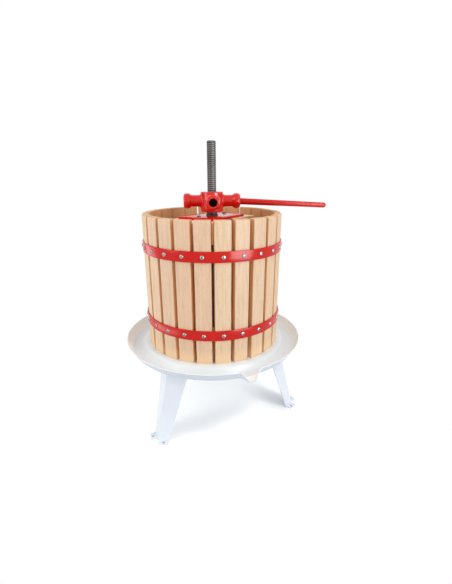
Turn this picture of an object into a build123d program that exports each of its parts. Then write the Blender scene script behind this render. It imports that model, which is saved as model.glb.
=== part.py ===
from build123d import *
from math import atan2, cos, degrees, hypot, radians, sin, tan
import os

# Basket fruit press in millimetres, Z up
# The origin lies on the spindle axis at the floor, and the spout points along -Y

# Basket of upright slats
BASKET_INNER_R = 140.0
BASKET_HEIGHT = 300.0
SLAT_COUNT = 24
SLAT_THICKNESS = 15.0
SLAT_GAP = 6.4
SLAT_EDGE_R = 1.5
FIRST_SLAT_ANGLE = 1.6

# Hoops and the screws that hold each slat to them
HOOP_HEIGHT = 22.0
HOOP_SHEET = 2.0
HOOP_CLEARANCE = 0.05
UPPER_HOOP_DROP = 69.5
LOWER_HOOP_RISE = 65.6
HOOP_SCREW_D = 4.0
HOOP_SCREW_HEAD_D = 8.2
HOOP_SCREW_HEAD_H = 2.6
HOOP_SCREW_TIP_COVER = 5.0
SCREW_CLEARANCE = 0.1
SCREW_HEAD_RIM = 0.8

# Pressed tray: raised centre, gutter and sloping wall
TRAY_SHEET = 1.5
PLATEAU_MARGIN = 13.0
GUTTER_DEPTH = 13.2
GUTTER_SLOPE_RUN = 8.0
GUTTER_FLOOR_WIDTH = 21.0
WALL_RISE = 21.0
WALL_RUN = 12.5
PRESS_R = 5.0

# Spout pulled out of the tray wall, in sections from the gutter to its tip
SPOUT_REACH = 9.5
SPOUT_BEND_OUT = 3.5
SPOUT_NECK_IN = 3.5
SPOUT_FALL = 2.5
SPOUT_ROOT_HALF = 16.0
SPOUT_NECK_HALF = 12.0
SPOUT_BEND_HALF = 7.5
SPOUT_TIP_HALF = 4.8
SPOUT_BEND_HEIGHT = 12.5
SPOUT_TIP_HEIGHT = 4.0
SPOUT_ROOT_LEAN = 0.75
SPOUT_NECK_LEAN = 0.6
SPOUT_BEND_LEAN = 0.55
SPOUT_TIP_LEAN = 0.45
SPOUT_CORNER_R = 3.0
SPOUT_CUT_OVER = 12.0

# Folded legs, their ridge outwards
LEG_HEIGHT = 187.5
LEG_SHEET = 2.5
LEG_SPLAY_ANGLE = 13.8
LEG_INSET = 8.0
LEG_FOLD_ANGLE = 57.0
LEG_BEND_R = 5.0
LEG_TOP_WIDTH = 54.0
LEG_FOOT_WIDTH = 27.0
FOOT_TAB_LENGTH = 12.8
FOOT_TAB_CORNER_R = 2.5
FOOT_HOLE_ALONG = 16.0
FOOT_HOLE_OUT = 7.0
FOOT_HOLE_D = 6.5
TOP_TAB_ALONG = 30.0
TOP_TAB_WIDTH = 22.0
TOP_TAB_LENGTH = 24.0
LEG_ANGLES = {"back": 90.0, "left": 210.0, "right": 330.0}

# Studs under the tray and the nuts that hold the legs
STUD_D = 6.0
STUD_IN = 13.0
STUD_PROUD = 3.0
STUD_CLEARANCE = 0.2
STUD_NUT_WIDTH = 10.0
STUD_NUT_HEIGHT = 5.0

# Spindle and its fastening in the tray
SPINDLE_D = 20.0
SPINDLE_ABOVE_BASKET = 148.2
SPINDLE_CHAMFER = 1.5
SPINDLE_BELOW_NUT = 5.0
SPINDLE_NUT_WIDTH = 28.0
LOWER_NUT_HEIGHT = 15.0
UPPER_NUT_HEIGHT = 9.0
SPINDLE_DISC_D = 110.0
SPINDLE_DISC_SHEET = 4.0
THREAD_CLEARANCE = 0.08

# Half-round press boards, lying on the tray floor
BOARD_THICKNESS = 24.0
BOARD_CLEARANCE = 5.0
BOARD_SPLIT = 3.0
BOARD_NUT_CLEARANCE = 1.5
BOARD_CHAMFER = 2.0

# Press plate and the beams under it
PLATE_BELOW_RIM = 7.2
PLATE_LENGTH = 132.0
PLATE_WIDTH = 89.0
PLATE_SHEET = 5.5
PLATE_CORNER_R = 3.0
PLATE_ANGLE = -58.0
BEAM_LENGTH = 110.0
BEAM_WIDTH = 85.0
BEAM_THICKNESS = 45.0
BEAM_SPINDLE_CLEARANCE = 2.0
BEAM_EDGE_R = 2.0
BEAM_RELIEF_CLEARANCE = 2.5
PLATE_SCREW_OUT = 48.0
PLATE_SCREW_D = 5.0
PLATE_SCREW_HEAD_D = 9.5
PLATE_SCREW_HEAD_H = 3.2
PLATE_SCREW_LENGTH = 34.0

# Swivel collar between plate and hub, with its two rings
COLLAR_CLEARANCE = 0.35
COLLAR_WALL = 1.45
COLLAR_LIP = 2.2
COLLAR_HEAD_HEIGHT = 5.0
COLLAR_SHOULDER = 1.4
COLLAR_CONE_HEIGHT = 4.5
SPIGOT_WALL = 2.35
SPIGOT_END = 2.0
PLATE_RING_SHEET = 1.6
PLATE_RING_BAND = 3.5
PLATE_RING_GROOVE = 0.8
PLATE_RING_OPENING = 8.0
HUB_RING_HEIGHT = 4.0
SEAT_CLEARANCE = 0.1
SWIVEL_CLEARANCE = 0.3

# Four-armed screw hub
HUB_STANDOFF = 8.6
HUB_BODY_D = 50.0
HUB_HEIGHT = 42.7
HUB_EDGE_R = 2.0
HUB_ANGLE = -18.8
ARM_COUNT = 4
ARM_RISE = 22.8
ARM_D = 25.4
ARM_REACH = 63.0
ARM_END_D = 21.4
ARM_FILLET_R = 4.5
BULB_D = 33.0
BULB_AT = 52.6
BULB_ROOT = 43.5
SOCKET_D = 17.2
SOCKET_FLOOR = 7.0
SOCKET_CHAMFER = 0.8

# Turning bar, loose in one socket
BAR_INNER_D = 14.6
BAR_TIP_D = 11.6
BAR_LENGTH = 243.5
BAR_END_GAP = 1.5
BAR_CLEARANCE = 0.35
BAR_CHAMFER = 1.0

# Heights and radii that follow from the sizes above
BASKET_OUTER_R = BASKET_INNER_R + SLAT_THICKNESS
SLAT_WIDTH = 2 * BASKET_OUTER_R * tan(radians(180 / SLAT_COUNT)) - SLAT_GAP
HOOP_INNER_R = (
    hypot(BASKET_OUTER_R - SLAT_EDGE_R, SLAT_WIDTH / 2 - SLAT_EDGE_R) + SLAT_EDGE_R + HOOP_CLEARANCE
)
HOOP_OUTER_R = HOOP_INNER_R + HOOP_SHEET
FLOOR_Z = LEG_HEIGHT + TRAY_SHEET
BASKET_TOP_Z = FLOOR_Z + BASKET_HEIGHT
UPPER_HOOP_Z = BASKET_TOP_Z - UPPER_HOOP_DROP
LOWER_HOOP_Z = FLOOR_Z + LOWER_HOOP_RISE
PLATEAU_R = BASKET_OUTER_R + PLATEAU_MARGIN
GUTTER_INNER_R = PLATEAU_R + GUTTER_SLOPE_RUN
GUTTER_OUTER_R = GUTTER_INNER_R + GUTTER_FLOOR_WIDTH
RIM_R = GUTTER_OUTER_R + WALL_RUN
GUTTER_Z = FLOOR_Z - GUTTER_DEPTH
RIM_Z = GUTTER_Z + WALL_RISE
SPINDLE_R = SPINDLE_D / 2
THREAD_R = SPINDLE_R + THREAD_CLEARANCE
LEG_TOP_R = PLATEAU_R - LEG_INSET
LEG_FOOT_R = LEG_TOP_R + LEG_HEIGHT * tan(radians(LEG_SPLAY_ANGLE))
PLATE_Z = BASKET_TOP_Z - PLATE_BELOW_RIM
BEAM_TOP_Z = PLATE_Z - PLATE_SHEET
BEAM_GAP = SPINDLE_D + 2 * BEAM_SPINDLE_CLEARANCE
COLLAR_BORE_R = SPINDLE_R + COLLAR_CLEARANCE
NECK_R = COLLAR_BORE_R + COLLAR_WALL
COLLAR_HEAD_R = NECK_R + COLLAR_LIP
SPIGOT_R = COLLAR_BORE_R + SPIGOT_WALL
HUB_Z = PLATE_Z + HUB_STANDOFF
HUB_POCKET_R = COLLAR_HEAD_R + SWIVEL_CLEARANCE
COLLAR_HEAD_Z = HUB_Z + HUB_RING_HEIGHT + SEAT_CLEARANCE
HUB_POCKET_Z = COLLAR_HEAD_Z + COLLAR_HEAD_HEIGHT + SEAT_CLEARANCE
PLATE_RING_Z = BEAM_TOP_Z - SEAT_CLEARANCE - PLATE_RING_SHEET
SPIGOT_Z = PLATE_RING_Z - SPIGOT_END
ARM_Z = HUB_Z + ARM_RISE
SOCKET_BOTTOM = SPINDLE_R + SOCKET_FLOOR


def turned(*outline):
    """Solid turned about Z from the edges of a closed outline in radius and height."""
    return revolve(Plane.XZ * make_face(list(outline)), Axis.Z)


def pan_screw(head_d, head_h, shank_d, length):
    """Domed screw with its head on Z = 0 and its shank along -Z."""
    top = (0, head_h)
    rim = (head_d / 2, SCREW_HEAD_RIM)
    stem = Polyline(rim, (head_d / 2, 0), (shank_d / 2, 0), (shank_d / 2, -length), (0, -length), top)
    return turned(TangentArc(top, rim, tangent=(1, 0)), *stem.edges())


def hex_nut(width, height, bore_r):
    """Hexagon nut that stands on Z = 0."""
    outline = RegularPolygon(width / 2, 6, major_radius=False) - Circle(bore_r)
    return extrude(outline, height)


def around(shape, count, first):
    """Copies of a shape spaced evenly about Z."""
    return [Rot(0, 0, first + 360 / count * n) * shape for n in range(count)]


def group(shapes):
    """Separate solids kept together as one node."""
    return Compound(children=[shape.solid() for shape in shapes])


# Basket

def slat():
    """One upright board, with the pilot holes of its two screws."""
    board = RectangleRounded(SLAT_THICKNESS, SLAT_WIDTH, SLAT_EDGE_R)
    body = extrude(Pos(BASKET_INNER_R + SLAT_THICKNESS / 2, 0, FLOOR_Z) * board, BASKET_HEIGHT)
    depth = SLAT_THICKNESS - HOOP_SCREW_TIP_COVER + SCREW_CLEARANCE
    pilot = Rot(0, 90, 0) * Cylinder(HOOP_SCREW_D / 2 + SCREW_CLEARANCE, 2 * depth)
    return body - [Pos(BASKET_OUTER_R, 0, z) * pilot for z in (UPPER_HOOP_Z, LOWER_HOOP_Z)]


def hoop(z):
    """Closed steel band with a hole over the middle of each slat."""
    band = extrude(Circle(HOOP_OUTER_R) - Circle(HOOP_INNER_R), HOOP_HEIGHT / 2, both=True)
    drill = Rot(0, 90, 0) * Cylinder(HOOP_SCREW_D / 2 + SCREW_CLEARANCE, 4 * HOOP_SHEET)
    holes = around(Pos(HOOP_INNER_R, 0, 0) * drill, SLAT_COUNT, FIRST_SLAT_ANGLE)
    return Pos(0, 0, z) * (band - holes)


def hoop_screws(z):
    """The ring of screws through one hoop."""
    length = HOOP_OUTER_R - BASKET_INNER_R - HOOP_SCREW_TIP_COVER
    screw = pan_screw(HOOP_SCREW_HEAD_D, HOOP_SCREW_HEAD_H, HOOP_SCREW_D, length)
    return group(around(Pos(HOOP_OUTER_R, 0, z) * Rot(0, 90, 0) * screw, SLAT_COUNT, FIRST_SLAT_ANGLE))


def press_board(side):
    """Half-round board, notched round the spindle nut; side is -1 in front and 1 behind."""
    radius = BASKET_INNER_R - BOARD_CLEARANCE
    notch_r = SPINDLE_NUT_WIDTH / 2 / cos(radians(30)) + BOARD_NUT_CLEARANCE
    half = Pos(0, side * (radius + BOARD_SPLIT) / 2, 0) * Rectangle(2 * radius, radius)
    outline = (Circle(radius) & half) - Circle(notch_r)
    board = extrude(Pos(0, 0, FLOOR_Z) * outline, BOARD_THICKNESS)
    return chamfer(board.faces().sort_by(Axis.Z)[-1].edges(), BOARD_CHAMFER)


# Tray

def tray_line():
    """Upper side of the tray sheet, from the spindle hole out to the rim."""
    return FilletPolyline(
        (THREAD_R, FLOOR_Z),
        (PLATEAU_R, FLOOR_Z),
        (GUTTER_INNER_R, GUTTER_Z),
        (GUTTER_OUTER_R, GUTTER_Z),
        (RIM_R, RIM_Z),
        radius=PRESS_R,
    )


def spout_section(y, half, floor_z, top_z, lean, wall):
    """Trough across Y with sides that lean outwards, thickened by wall."""
    top_half = half + lean * (top_z - floor_z)
    base_z = floor_z - wall
    corners = [(top_half, top_z), (half, base_z), (-half, base_z), (-top_half, top_z)]
    outline = Polyline(*[(x + (wall if x > 0 else -wall), z) for x, z in corners], close=True)
    face = make_face(outline)
    face = fillet(face.vertices().group_by(Axis.Y)[0], SPOUT_CORNER_R + wall)
    return Plane((0, y, 0), x_dir=(1, 0, 0), z_dir=(0, -1, 0)) * face


def spout_body(wall, over):
    """Solid inside or outside of the spout, its open top raised by over."""
    root_r = GUTTER_OUTER_R - PRESS_R
    tip_r = RIM_R + SPOUT_REACH
    stations = [
        (root_r, SPOUT_ROOT_HALF, None, SPOUT_ROOT_LEAN),
        (RIM_R - SPOUT_NECK_IN, SPOUT_NECK_HALF, None, SPOUT_NECK_LEAN),
        (RIM_R + SPOUT_BEND_OUT, SPOUT_BEND_HALF, SPOUT_BEND_HEIGHT, SPOUT_BEND_LEAN),
        (tip_r, SPOUT_TIP_HALF, SPOUT_TIP_HEIGHT, SPOUT_TIP_LEAN),
    ]
    sections = []
    for radius, half, height, lean in stations:
        floor_z = GUTTER_Z - SPOUT_FALL * (radius - root_r) / (tip_r - root_r)
        edge_z = floor_z + height if height else RIM_Z
        sections.append(spout_section(-radius, half, floor_z, edge_z + over, lean, wall))
    return loft(sections)


def tray():
    """Pressed sheet tray with its spout."""
    line = tray_line()
    sheet = revolve(Plane.XZ * make_face(offset(line, TRAY_SHEET, side=Side.RIGHT)), Axis.Z)
    lid_z = RIM_Z + SPOUT_CUT_OVER
    lid = Polyline((RIM_R, RIM_Z), (RIM_R, lid_z), (THREAD_R, lid_z), (THREAD_R, FLOOR_Z))
    inside = turned(*line.edges(), *lid.edges())
    opening = spout_body(0, SPOUT_CUT_OVER)
    trough = spout_body(TRAY_SHEET, 0) - opening - inside
    return sheet - opening + trough


# Legs

def on_flange(side, along, out, ridge_r):
    """Place on a leg flange: along from the ridge and out from its outer face."""
    fold = radians(LEG_FOLD_ANGLE)
    x = ridge_r - along * cos(fold) + out * sin(fold)
    y = side * (along * sin(fold) + out * cos(fold))
    return Pos(x, y, 0) * Rot(0, 0, side * (90 - LEG_FOLD_ANGLE))


def leg_section(z, ridge_r, width):
    """Folded section of the leg at one height."""
    back = width * cos(radians(LEG_FOLD_ANGLE))
    half = width * sin(radians(LEG_FOLD_ANGLE))
    points = [(ridge_r - back, half), (ridge_r, 0), (ridge_r - back, -half)]
    line = FilletPolyline(*points, radius=LEG_BEND_R)
    return Pos(0, 0, z) * make_face(offset(line, LEG_SHEET, side=Side.RIGHT))


def foot_tab(side):
    """Tab bent outwards at the foot of one flange, with its screw hole."""
    width = 2 * (LEG_FOOT_WIDTH - FOOT_HOLE_ALONG)
    outline = Pos((FOOT_TAB_LENGTH - LEG_SHEET) / 2, 0) * Rectangle(FOOT_TAB_LENGTH + LEG_SHEET, width)
    outline = fillet(outline.vertices().group_by(Axis.X)[-1], FOOT_TAB_CORNER_R)
    outline -= Pos(FOOT_HOLE_OUT, 0) * Circle(FOOT_HOLE_D / 2)
    return on_flange(side, FOOT_HOLE_ALONG, 0, LEG_FOOT_R) * extrude(outline, LEG_SHEET)


def top_tab(side):
    """Tab bent inwards at the top of one flange, with the hole for its stud."""
    outline = Pos(-TOP_TAB_LENGTH / 2, 0, 0) * Rectangle(TOP_TAB_LENGTH, TOP_TAB_WIDTH)
    hole = Pos(-STUD_IN, 0, 0) * Circle(STUD_D / 2 + STUD_CLEARANCE)
    place = on_flange(side, TOP_TAB_ALONG, 0, LEG_TOP_R)
    return Pos(0, 0, LEG_HEIGHT) * place * extrude(outline - hole, -LEG_SHEET)


def leg():
    """One leg along +X."""
    foot = leg_section(0, LEG_FOOT_R, LEG_FOOT_WIDTH)
    top = leg_section(LEG_HEIGHT, LEG_TOP_R, LEG_TOP_WIDTH)
    tabs = [tab(side) for side in (-1, 1) for tab in (foot_tab, top_tab)]
    return loft([foot, top], ruled=True) + tabs


def stud_places():
    """Places of the studs at the underside of the tray floor."""
    pair = [on_flange(side, TOP_TAB_ALONG, -STUD_IN, LEG_TOP_R) for side in (-1, 1)]
    turns = [Pos(0, 0, LEG_HEIGHT) * Rot(0, 0, angle) for angle in LEG_ANGLES.values()]
    return [turn * place for turn in turns for place in pair]


def leg_studs():
    """Studs welded under the tray floor."""
    length = LEG_SHEET + STUD_NUT_HEIGHT + STUD_PROUD
    stud = Pos(0, 0, -length / 2) * Cylinder(STUD_D / 2, length)
    return group([place * stud for place in stud_places()])


def leg_nuts():
    """Nuts under the top tabs of the legs."""
    nut = hex_nut(STUD_NUT_WIDTH, STUD_NUT_HEIGHT, STUD_D / 2 + THREAD_CLEARANCE)
    drop = Pos(0, 0, -LEG_SHEET - STUD_NUT_HEIGHT)
    return group([place * drop * nut for place in stud_places()])


# Spindle

def spindle():
    """Screw rod at its outer diameter, chamfered at both ends."""
    bottom = LEG_HEIGHT - SPINDLE_DISC_SHEET - LOWER_NUT_HEIGHT - SPINDLE_BELOW_NUT
    length = BASKET_TOP_Z + SPINDLE_ABOVE_BASKET - bottom
    rod = Pos(0, 0, bottom + length / 2) * Cylinder(SPINDLE_R, length)
    return chamfer(rod.edges().filter_by(GeomType.CIRCLE), SPINDLE_CHAMFER)


def spindle_disc():
    """Disc under the tray floor that spreads the pull of the spindle."""
    outline = Circle(SPINDLE_DISC_D / 2) - Circle(THREAD_R)
    return extrude(Pos(0, 0, LEG_HEIGHT) * outline, -SPINDLE_DISC_SHEET)


def spindle_nut(base_z, height):
    """Nut on the spindle, above or below the tray floor."""
    return Pos(0, 0, base_z) * hex_nut(SPINDLE_NUT_WIDTH, height, THREAD_R)


# Press head

def in_plate(x, y, z):
    """Place in the turned frame of the press plate, X along the beams."""
    return Rot(0, 0, PLATE_ANGLE) * Pos(x, y, z)


def plate_screw_places():
    """Screw places in the frame of the plate, one over each beam."""
    return [(0, -PLATE_SCREW_OUT), (0, PLATE_SCREW_OUT)]


def press_plate():
    """Plate across both beams, with the collar hole and its screw holes."""
    outline = RectangleRounded(PLATE_WIDTH, PLATE_LENGTH, PLATE_CORNER_R) - Circle(SPIGOT_R + SEAT_CLEARANCE)
    hole = Circle(PLATE_SCREW_D / 2 + SCREW_CLEARANCE)
    outline -= [Pos(x, y) * hole for x, y in plate_screw_places()]
    return in_plate(0, 0, PLATE_Z) * extrude(outline, -PLATE_SHEET)


def press_beam(side):
    """Beam under the plate, hollowed round the collar; side is -1 in front and 1 behind."""
    block = Box(BEAM_LENGTH, BEAM_WIDTH, BEAM_THICKNESS, align=(Align.CENTER, Align.CENTER, Align.MAX))
    block = fillet(block.edges().filter_by(Axis.X), BEAM_EDGE_R)
    beam = Pos(0, side * (BEAM_GAP + BEAM_WIDTH) / 2, 0) * block
    relief_r = SPIGOT_R + PLATE_RING_BAND + BEAM_RELIEF_CLEARANCE
    relief_depth = BEAM_TOP_Z - SPIGOT_Z + BEAM_RELIEF_CLEARANCE
    relief = extrude(Circle(relief_r), -relief_depth)
    pilot_depth = PLATE_SCREW_LENGTH - PLATE_SHEET + SCREW_CLEARANCE
    pilot = extrude(Circle(PLATE_SCREW_D / 2 + SCREW_CLEARANCE), -pilot_depth)
    beam -= [relief] + [Pos(x, y) * pilot for x, y in plate_screw_places()]
    return in_plate(0, 0, BEAM_TOP_Z) * beam


def plate_screws():
    """Screws down through the plate into the beams."""
    screw = pan_screw(PLATE_SCREW_HEAD_D, PLATE_SCREW_HEAD_H, PLATE_SCREW_D, PLATE_SCREW_LENGTH)
    return group([in_plate(x, y, PLATE_Z) * screw for x, y in plate_screw_places()])


def swivel_collar():
    """Turned collar: spigot through the plate, cone on it, neck and head in the hub."""
    groove_r = SPIGOT_R - PLATE_RING_GROOVE
    groove_z = PLATE_RING_Z - SEAT_CLEARANCE
    outline = Polyline(
        (COLLAR_BORE_R, SPIGOT_Z),
        (SPIGOT_R, SPIGOT_Z),
        (SPIGOT_R, groove_z),
        (groove_r, groove_z),
        (groove_r, BEAM_TOP_Z),
        (SPIGOT_R, BEAM_TOP_Z),
        (SPIGOT_R, PLATE_Z),
        (SPIGOT_R + COLLAR_SHOULDER, PLATE_Z),
        (NECK_R, PLATE_Z + COLLAR_CONE_HEIGHT),
        (NECK_R, COLLAR_HEAD_Z),
        (COLLAR_HEAD_R, COLLAR_HEAD_Z),
        (COLLAR_HEAD_R, COLLAR_HEAD_Z + COLLAR_HEAD_HEIGHT),
        (COLLAR_BORE_R, COLLAR_HEAD_Z + COLLAR_HEAD_HEIGHT),
        close=True,
    )
    return turned(*outline.edges())


def plate_retaining_ring():
    """Open spring ring in the groove of the collar, under the plate."""
    inner_r = SPIGOT_R - PLATE_RING_GROOVE + SCREW_CLEARANCE
    outer_r = SPIGOT_R + PLATE_RING_BAND
    mouth = Pos(outer_r / 2, 0) * Rectangle(outer_r, PLATE_RING_OPENING)
    outline = Circle(outer_r) - Circle(inner_r) - mouth
    return in_plate(0, 0, PLATE_RING_Z) * extrude(outline, PLATE_RING_SHEET)


# Hub and turning bar

def hub_arm():
    """Round arm along +X that swells to a bulb before its end."""
    arm_r = ARM_D / 2
    end_r = ARM_END_D / 2
    swell = Spline((BULB_ROOT, arm_r), (BULB_AT, BULB_D / 2), tangents=[(1, 0), (1, 0)])
    cap = Spline((BULB_AT, BULB_D / 2), (ARM_REACH, end_r), tangents=[(1, 0), (0, -1)])
    root = Polyline((0, 0), (0, arm_r), (BULB_ROOT, arm_r))
    face = Polyline((ARM_REACH, end_r), (ARM_REACH, 0), (0, 0))
    return revolve(make_face([*root.edges(), swell, cap, *face.edges()]), Axis.X)


def socket_line():
    """Half section of a blind socket along +X, with its chamfered mouth."""
    socket_r = SOCKET_D / 2
    mouth_r = socket_r + SOCKET_CHAMFER
    start = (SOCKET_BOTTOM, 0)
    return Polyline(
        start,
        (SOCKET_BOTTOM, socket_r),
        (ARM_REACH - SOCKET_CHAMFER, socket_r),
        (ARM_REACH, mouth_r),
        (ARM_REACH, 0),
        start,
    )


def hub():
    """Screw hub: round body, four arms with sockets, thread bore and collar pocket."""
    core = Pos(0, 0, HUB_HEIGHT / 2 - ARM_RISE) * Cylinder(HUB_BODY_D / 2, HUB_HEIGHT)
    core = fillet(core.edges().filter_by(GeomType.CIRCLE), HUB_EDGE_R)
    body = core + around(hub_arm(), ARM_COUNT, 0)
    seams = [edge for edge in body.edges() if edge.geom_type not in (GeomType.CIRCLE, GeomType.LINE)]
    body = fillet(seams, ARM_FILLET_R)
    socket = revolve(make_face(socket_line()), Axis.X)
    bore = Pos(0, 0, HUB_HEIGHT / 2 - ARM_RISE) * Cylinder(THREAD_R, HUB_HEIGHT)
    pocket = extrude(Pos(0, 0, -ARM_RISE) * Circle(HUB_POCKET_R), HUB_POCKET_Z - HUB_Z)
    body -= [*around(socket, ARM_COUNT, 0), bore, pocket]
    return Rot(0, 0, HUB_ANGLE) * Pos(0, 0, ARM_Z) * body


def hub_retaining_ring():
    """Ring pressed into the pocket of the hub, under the head of the collar."""
    outline = Circle(HUB_POCKET_R) - Circle(NECK_R + SWIVEL_CLEARANCE)
    return extrude(Pos(0, 0, HUB_Z) * outline, HUB_RING_HEIGHT)


def handle_bar():
    """Tapered bar that droops in its socket until its ends touch."""
    inner_r = BAR_INNER_D / 2
    tip_r = BAR_TIP_D / 2
    start = SOCKET_BOTTOM + BAR_END_GAP
    engaged = ARM_REACH - SOCKET_CHAMFER - start
    mouth_r = inner_r - (inner_r - tip_r) * engaged / BAR_LENGTH
    lift = SOCKET_D / 2 - inner_r - BAR_CLEARANCE
    drop = SOCKET_D / 2 - mouth_r - BAR_CLEARANCE
    droop = degrees(atan2(lift + drop, engaged))
    shoulder = (BAR_LENGTH - tip_r, tip_r)
    side = Polyline((BAR_LENGTH, 0), (0, 0), (0, inner_r - BAR_CHAMFER), (BAR_CHAMFER, inner_r), shoulder)
    outline = make_face([*side.edges(), TangentArc(shoulder, (BAR_LENGTH, 0), tangent=(1, 0))])
    bar = revolve(outline, Axis.X)
    return Rot(0, 0, HUB_ANGLE) * Pos(start, 0, ARM_Z + lift) * Rot(0, droop, 0) * bar


NODES = {
    "tray": tray(),
    "leg_studs": leg_studs(),
    "leg_nuts": leg_nuts(),
    "spindle": spindle(),
    "spindle_disc": spindle_disc(),
    "spindle_upper_nut": spindle_nut(FLOOR_Z, UPPER_NUT_HEIGHT),
    "spindle_lower_nut": spindle_nut(LEG_HEIGHT - SPINDLE_DISC_SHEET - LOWER_NUT_HEIGHT, LOWER_NUT_HEIGHT),
    "upper_hoop": hoop(UPPER_HOOP_Z),
    "lower_hoop": hoop(LOWER_HOOP_Z),
    "upper_hoop_screws": hoop_screws(UPPER_HOOP_Z),
    "lower_hoop_screws": hoop_screws(LOWER_HOOP_Z),
    "press_board_front": press_board(-1),
    "press_board_back": press_board(1),
    "press_plate": press_plate(),
    "press_beam_front": press_beam(-1),
    "press_beam_back": press_beam(1),
    "plate_screws": plate_screws(),
    "swivel_collar": swivel_collar(),
    "plate_retaining_ring": plate_retaining_ring(),
    "hub": hub(),
    "hub_retaining_ring": hub_retaining_ring(),
    "handle_bar": handle_bar(),
}
for name, angle in LEG_ANGLES.items():
    NODES[f"leg_{name}"] = Rot(0, 0, angle) * leg()
for number, board in enumerate(around(slat(), SLAT_COUNT, FIRST_SLAT_ANGLE), start=1):
    NODES[f"slat_{number:02d}"] = board

os.makedirs("parts", exist_ok=True)
for name, shape in NODES.items():
    export_step(shape, f"parts/{name}.step")
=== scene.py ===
"""Looks of a basket fruit press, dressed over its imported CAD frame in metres."""
import logging
import math
import random
from collections.abc import Sequence
from dataclasses import dataclass
from enum import Enum
from typing import ClassVar

import bmesh
import bpy
import numpy as np
from mathutils import Matrix, Vector


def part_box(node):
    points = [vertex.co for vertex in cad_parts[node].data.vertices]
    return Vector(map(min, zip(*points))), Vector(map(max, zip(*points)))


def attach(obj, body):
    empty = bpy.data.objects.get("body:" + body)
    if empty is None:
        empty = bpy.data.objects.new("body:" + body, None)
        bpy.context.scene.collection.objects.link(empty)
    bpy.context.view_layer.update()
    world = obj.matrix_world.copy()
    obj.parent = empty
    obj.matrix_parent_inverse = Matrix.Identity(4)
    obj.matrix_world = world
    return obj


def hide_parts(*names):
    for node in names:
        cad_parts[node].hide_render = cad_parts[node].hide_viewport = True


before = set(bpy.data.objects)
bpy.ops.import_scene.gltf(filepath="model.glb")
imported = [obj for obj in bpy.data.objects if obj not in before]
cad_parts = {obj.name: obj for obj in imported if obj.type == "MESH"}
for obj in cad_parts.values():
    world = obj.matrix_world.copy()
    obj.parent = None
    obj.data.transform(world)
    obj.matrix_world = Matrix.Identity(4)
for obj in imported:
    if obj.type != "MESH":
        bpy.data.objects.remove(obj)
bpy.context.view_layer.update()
LOG = logging.getLogger("fruit_press")
MM = 0.001
WHITE = (1.0, 1.0, 1.0)
SEEN_BY = ("Camera", "Glossy", "Transmission")
CORNERS = ((1, -1, -90), (1, 1, 0), (-1, 1, 90), (-1, -1, 180))  # sides, start of the arc
QUARTERS = ((1, 0), (0, 1), (-1, 0), (0, -1))  # cosine and sine
BOARD_SHIFT = (0.03, 0.05, 2.0)
MERGE = 1e-7
Material = bpy.types.Material
Object = bpy.types.Object
Triple = tuple[float, float, float]
Colour = Triple
Span = tuple[float, float]
Loop = list[tuple[float, float]]
Faces = list[tuple[int, ...]]
Figure = tuple[Triple, float, float]
Form = tuple[Sequence[Sequence[float]], Faces]


class Body(str, Enum):
    """Moving bodies of the press."""

    FRAME = "frame"
    HEAD = "press_head"


class Slot(str, Enum):
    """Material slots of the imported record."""

    WHITE = "white_enamel"
    RED = "red_enamel"
    BEECH = "beech"
    SPINDLE = "spindle_steel"
    ZINC = "zinc_steel"


# Shader maths


class Sock:
    """Output socket of a node, with the operators that shader maths uses."""

    def __init__(self, sheet: "NodeSheet", socket: bpy.types.NodeSocket | None) -> None:
        """Keep the socket and the sheet it lies on."""
        self.sheet = sheet
        self.socket = socket

    def _do(self, operation: str, a: "Term", b: "Term" = 0.0) -> "Sock":
        """Add one Math node on two terms."""
        return self.sheet.node("Math", {"operation": operation}, {0: a, 1: b})

    def __add__(self, other: "Term") -> "Sock":
        """Sum."""
        return self._do("ADD", self, other)

    def __sub__(self, other: "Term") -> "Sock":
        """Difference."""
        return self._do("SUBTRACT", self, other)

    def __rsub__(self, other: "Term") -> "Sock":
        """Difference from a number."""
        return self._do("SUBTRACT", other, self)

    def __mul__(self, other: "Term") -> "Sock":
        """Product."""
        return self._do("MULTIPLY", self, other)

    def __pow__(self, other: "Term") -> "Sock":
        """Power."""
        return self._do("POWER", self, other)

    __radd__ = __add__
    __rmul__ = __mul__

    def sine(self) -> "Sock":
        """Sine of the value."""
        return self._do("SINE", self)

    def size(self) -> "Sock":
        """Value without its sign."""
        return self._do("ABSOLUTE", self)

    def least(self, other: "Term") -> "Sock":
        """Smaller of two terms."""
        return self._do("MINIMUM", self, other)

    def angle(self, first: "Sock") -> "Sock":
        """Angle of a flat vector whose second part this is."""
        return self._do("ARCTAN2", self, first)

    def folded(self, length: float) -> "Sock":
        """Value that runs up to a length and back again."""
        return self._do("PINGPONG", self, length)

    def between(self, low: float, high: float) -> "Sock":
        """Smooth step from 0 at low to 1 at high."""
        ends = {"Value": self, "From Min": low, "From Max": high}
        return self.sheet.node("MapRange", {"interpolation_type": "SMOOTHSTEP"}, ends)


Term = Sock | float
Sockets = dict[int | str, Sock | float | Triple]


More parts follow.
